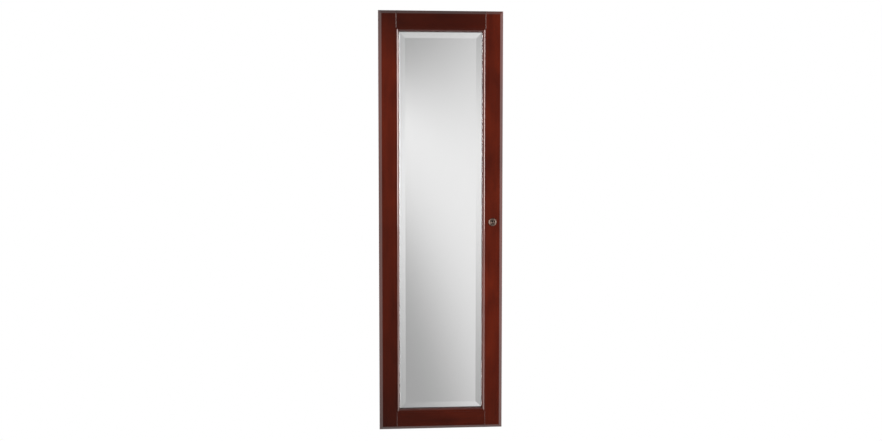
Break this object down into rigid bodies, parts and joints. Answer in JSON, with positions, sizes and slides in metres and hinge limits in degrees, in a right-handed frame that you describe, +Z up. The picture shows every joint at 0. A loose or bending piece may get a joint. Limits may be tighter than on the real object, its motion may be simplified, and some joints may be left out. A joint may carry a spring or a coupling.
{
  "type": "jewelry armoire",
  "caption": "Shallow wall-hung wooden jewelry armoire with a framed, bevelled mirror door, a cam lock and a velvet-lined interior of hooks, bars, rolls and shelves.",
  "frame": {"origin": "middle of the hanging rail's back face, on the wall plane, midway between the two keyhole hangers", "axes": "+Z up, +Y into the wall, +X to the right of someone who faces the mirror"},
  "size_m": [0.362, 0.0998, 1.22],
  "materials": {
    "cherry_finish": "red-brown cherry stain under a glossy clear lacquer",
    "back_board": "stained hardboard, smooth side in",
    "black_velvet": "short black velvet over board",
    "ring_plush": "black plush over foam rolls",
    "mirror_silver": "silvered float glass with a polished bevel",
    "aged_brass": "antique brass, lacquered",
    "lock_pewter": "antique pewter plating, rubbed bright at the rim",
    "zinc_steel": "zinc-plated steel",
    "catch_plastic": "dark brown moulded plastic"
  },
  "bodies": {
    "cabinet": {"side_panel_left": "cherry_finish", "side_panel_right": "cherry_finish", "top_panel": "cherry_finish", "bottom_panel": "cherry_finish", "back_panel": "back_board", "hanging_rail": "cherry_finish", "spacer_rail": "cherry_finish", "back_lining": "black_velvet", "side_lining_left": "black_velvet", "side_lining_right": "black_velvet", "keyhole_hanger_left": "zinc_steel", "keyhole_hanger_right": "zinc_steel", "shelf_1": "cherry_finish", "shelf_2": "cherry_finish", "shelf_3": "cherry_finish", "guard_rod_1": "aged_brass", "guard_rod_2": "aged_brass", "guard_rod_3": "aged_brass", "guard_rod_4": "aged_brass", "ring_tray": "cherry_finish", "ring_roll_1": "ring_plush", "ring_roll_2": "ring_plush", "ring_roll_3": "ring_plush", "ring_roll_4": "ring_plush", "ring_roll_5": "ring_plush", "earring_bar_1": "cherry_finish", "earring_bar_2": "cherry_finish", "earring_bar_3": "cherry_finish", "necklace_rail": "cherry_finish", "necklace_hook_1": "aged_brass", "necklace_hook_2": "aged_brass", "necklace_hook_3": "aged_brass", "necklace_hook_4": "aged_brass", "necklace_hook_5": "aged_brass", "necklace_hook_6": "aged_brass", "necklace_hook_7": "aged_brass", "bracelet_rod": "cherry_finish", "hinge_cabinet_leaf_1": "aged_brass", "hinge_cabinet_leaf_2": "aged_brass", "hinge_cabinet_leaf_3": "aged_brass", "hinge_pin_1": "aged_brass", "hinge_pin_2": "aged_brass", "hinge_pin_3": "aged_brass", "strike_plate": "zinc_steel", "magnet_catch": "catch_plastic"},
    "door": {"door_stile_left": "cherry_finish", "door_stile_right": "cherry_finish", "door_rail_top": "cherry_finish", "door_rail_bottom": "cherry_finish", "mirror_glass": "mirror_silver", "mirror_backing": "black_velvet", "hinge_door_leaf_1": "aged_brass", "hinge_door_leaf_2": "aged_brass", "hinge_door_leaf_3": "aged_brass", "lock_housing": "lock_pewter", "lock_nut": "zinc_steel", "catch_plate": "zinc_steel"},
    "lock": {"lock_plug": "lock_pewter", "lock_cam": "zinc_steel", "cam_screw": "zinc_steel"}
  },
  "joints": [
    {"name": "door_hinge", "type": "hinge", "parent": "cabinet", "child": "door", "pos_m": [-0.1753, -0.0717, -0.559], "axis": [0, 0, -1], "range_deg": [0, 120]},
    {"name": "lock_turn", "type": "hinge", "parent": "door", "child": "lock", "pos_m": [0.1505, -0.0997, -0.559], "axis": [0, -1, 0], "range_deg": [0, 90]}
  ]
}
